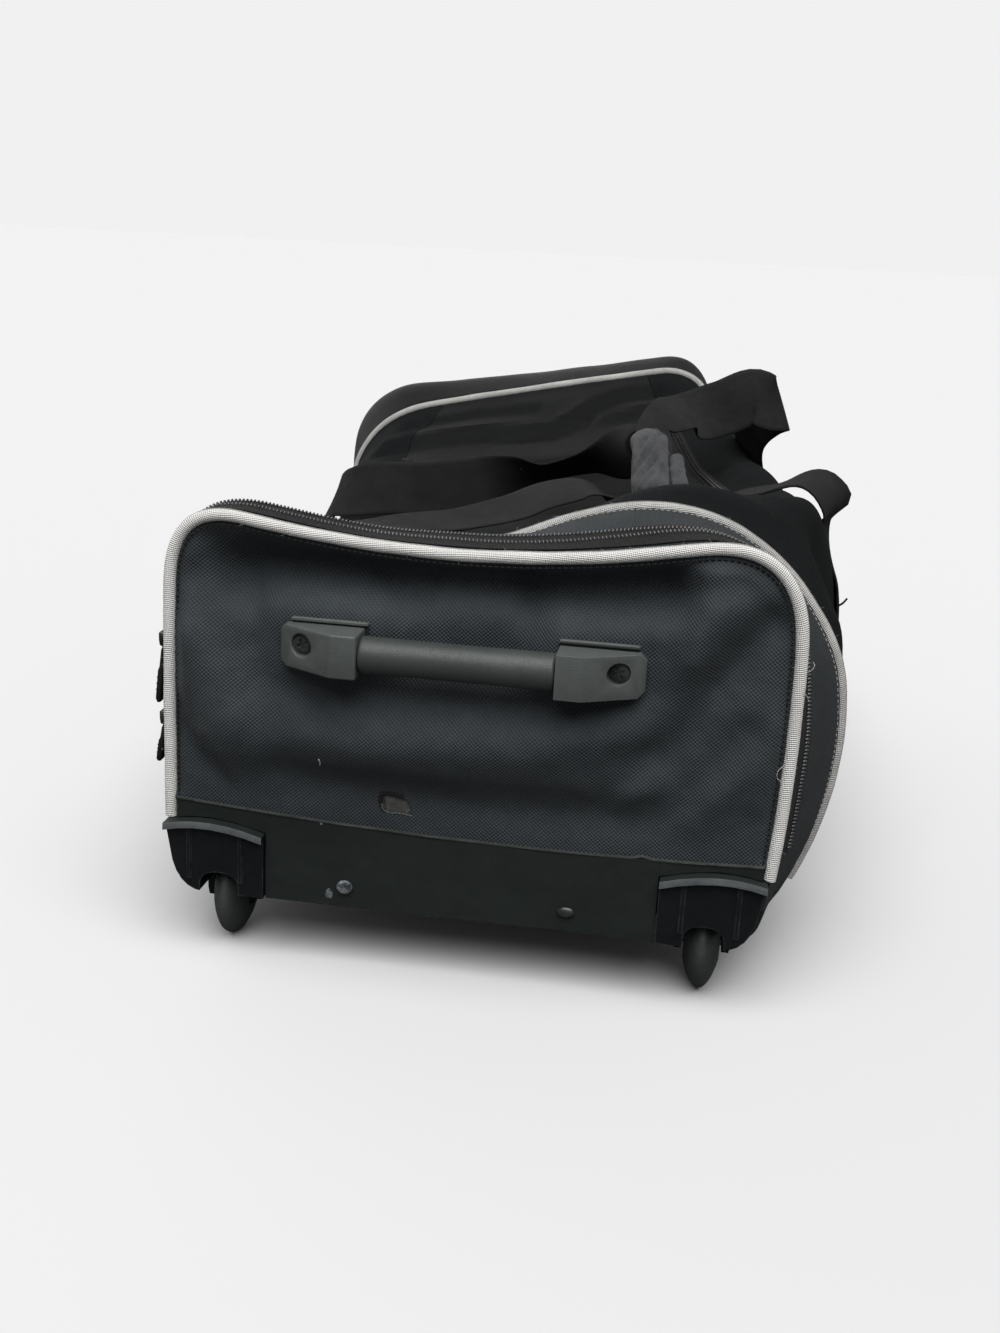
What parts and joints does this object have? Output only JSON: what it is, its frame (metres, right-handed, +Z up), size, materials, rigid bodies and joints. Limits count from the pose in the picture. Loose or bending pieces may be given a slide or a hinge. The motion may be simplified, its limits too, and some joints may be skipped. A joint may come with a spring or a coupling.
{
  "type": "wheeled duffel bag",
  "caption": "Long soft duffel bag, slumped when empty, with piped ends, a zipped end pocket and lid, webbing carry handles joined by a padded wrap, and a pull handle and wheels at one end.",
  "frame": {"origin": "on the floor under the middle of the bag's bounding box", "axes": "+Z up, +Y along the bag from its wheeled end to its far end, +X to the right as seen from the wheeled end"},
  "size_m": [0.4954, 0.8425, 0.3448],
  "materials": {
    "cloth": "matt woven cloth, dark blue charcoal",
    "coated_cloth": "smooth coated cloth, green black",
    "piping": "matt woven tube, light grey",
    "zip": "black tape with coil teeth",
    "webbing": "matt black webbing",
    "padding": "soft wrinkled wrap, mid grey",
    "plastic": "dark grey, lightly worn",
    "black_plastic": "near black, worn lighter at its edges",
    "board": "bare grey board",
    "tyre": "dark grey, scuffed",
    "steel": "dull zinc plate"
  },
  "bodies": {
    "bag": {"left_side_panel": "cloth", "right_side_panel": "cloth", "top_near_strip": "cloth", "top_far_strip": "cloth", "lid": "cloth", "near_gusset": "cloth", "near_end_panel": "cloth", "base_panel": "coated_cloth", "far_gusset": "coated_cloth", "far_end_panel": "coated_cloth", "base_guard": "coated_cloth", "near_outer_piping": "piping", "near_inner_piping": "piping", "far_inner_piping": "piping", "far_outer_piping": "piping", "near_zip": "zip", "main_zip": "zip", "left_carry_handle": "webbing", "right_carry_handle": "webbing", "handle_wrap": "padding", "left_handle_bracket": "plastic", "right_handle_bracket": "plastic", "handle_grip": "plastic", "zip_pull_upper": "black_plastic", "zip_pull_lower": "black_plastic", "left_wheel_housing": "black_plastic", "right_wheel_housing": "black_plastic", "stiffener_board": "board", "zip_slider_upper": "steel", "zip_slider_lower": "steel", "base_rivet_left": "steel", "base_rivet_right": "steel", "left_axle": "steel", "right_axle": "steel", "left_bracket_screw": "steel", "right_bracket_screw": "steel"},
    "left_wheel": {"left_wheel": "tyre"},
    "right_wheel": {"right_wheel": "tyre"}
  },
  "joints": [
    {"name": "left_wheel_spin", "type": "hinge", "parent": "bag", "child": "left_wheel", "pos_m": [-0.1335, -0.3588, 0.031], "axis": [1, 0, 0], "continuous": true},
    {"name": "right_wheel_spin", "type": "hinge", "parent": "bag", "child": "right_wheel", "pos_m": [0.1665, -0.3588, 0.031], "axis": [1, 0, 0], "continuous": true}
  ]
}
